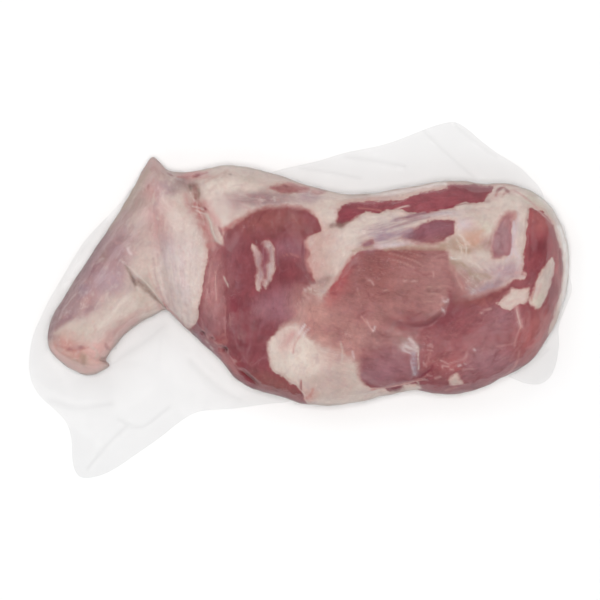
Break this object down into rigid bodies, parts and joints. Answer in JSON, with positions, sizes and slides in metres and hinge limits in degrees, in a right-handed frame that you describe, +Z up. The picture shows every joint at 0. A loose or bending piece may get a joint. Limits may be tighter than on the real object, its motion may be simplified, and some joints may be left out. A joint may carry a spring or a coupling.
{
  "type": "raw lamb shoulder",
  "caption": "Raw bone-in lamb shoulder with its shank, inner side up, shrunk into a clear vacuum bag with loose film flaps; lies flat.",
  "frame": {"origin": "centre of the pack's bounding box in plan, on the surface that it lies on", "axes": "+X from the shank's cut end to the neck end, +Y towards the elbow, +Z up"},
  "size_m": [0.4082, 0.2689, 0.0615],
  "materials": {
    "meat_under_film": "raw red meat and cream fat seen through clear shiny film"
  },
  "bodies": {
    "root": {"sealed_pack": "meat_under_film"}
  },
  "joints": []
}
